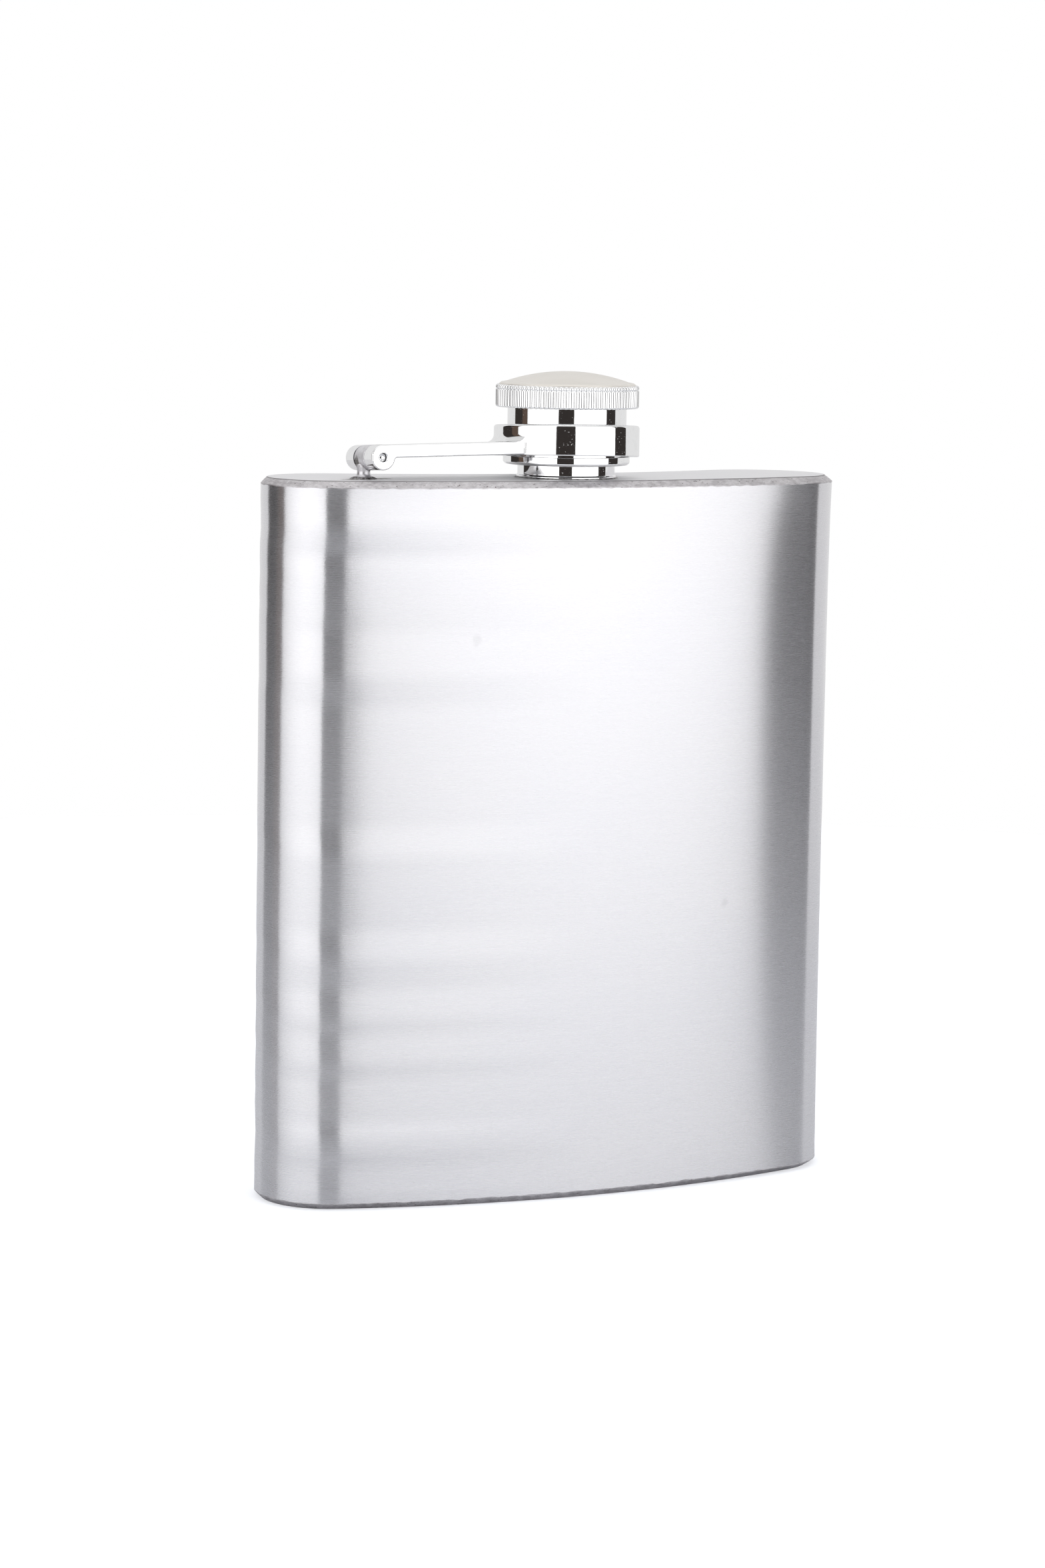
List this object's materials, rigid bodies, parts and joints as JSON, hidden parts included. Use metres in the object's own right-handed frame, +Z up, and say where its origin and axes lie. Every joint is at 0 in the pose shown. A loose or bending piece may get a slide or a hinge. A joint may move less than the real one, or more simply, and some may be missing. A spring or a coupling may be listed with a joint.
{
  "type": "hip flask",
  "caption": "Curved stainless steel hip flask: brushed kidney-section body, welded neck, and a knurled screw cap held captive in a collar on a hinged arm.",
  "frame": {"origin": "middle of the body's footprint, on the surface the flask stands on", "axes": "+Z up through the neck, -Y the bulging front, +Y the hollow back, the arm hinge towards -X"},
  "size_m": [0.093, 0.0275, 0.1233],
  "materials": {
    "brushed_steel": "fine brushed, grain running round the body",
    "plate_steel": "smooth satin",
    "ground_weld": "coarse ground",
    "polished_steel": "mirror polished",
    "cast_steel": "tumbled polish",
    "pin_steel": "polished",
    "burnt_weld": "heat-darkened, rough",
    "cap_disc": "pearl satin",
    "seal_rubber": "translucent white"
  },
  "bodies": {
    "flask": {"body_shell": "brushed_steel", "top_plate": "plate_steel", "bottom_plate": "plate_steel", "top_seam_weld": "ground_weld", "bottom_seam_weld": "ground_weld", "side_seam_weld": "ground_weld", "neck_tube": "polished_steel", "neck_weld": "burnt_weld", "hinge_post": "cast_steel", "hinge_weld": "burnt_weld"},
    "arm": {"collar_arm": "polished_steel", "hinge_pin": "pin_steel"},
    "cap": {"cap_shell": "polished_steel", "cap_dome": "cap_disc", "cap_retaining_ring": "polished_steel", "cap_seal": "seal_rubber"}
  },
  "joints": [
    {"name": "arm_swing", "type": "hinge", "parent": "flask", "child": "arm", "pos_m": [-0.03245, -0.00318, 0.11062], "axis": [0, -0.9986, 0.0523], "range_deg": [0, 180]},
    {"name": "cap_turn", "type": "hinge", "parent": "arm", "child": "cap", "pos_m": [-0.0005, -0.00318, 0.1155], "axis": [0, 0, 1], "continuous": true}
  ]
}
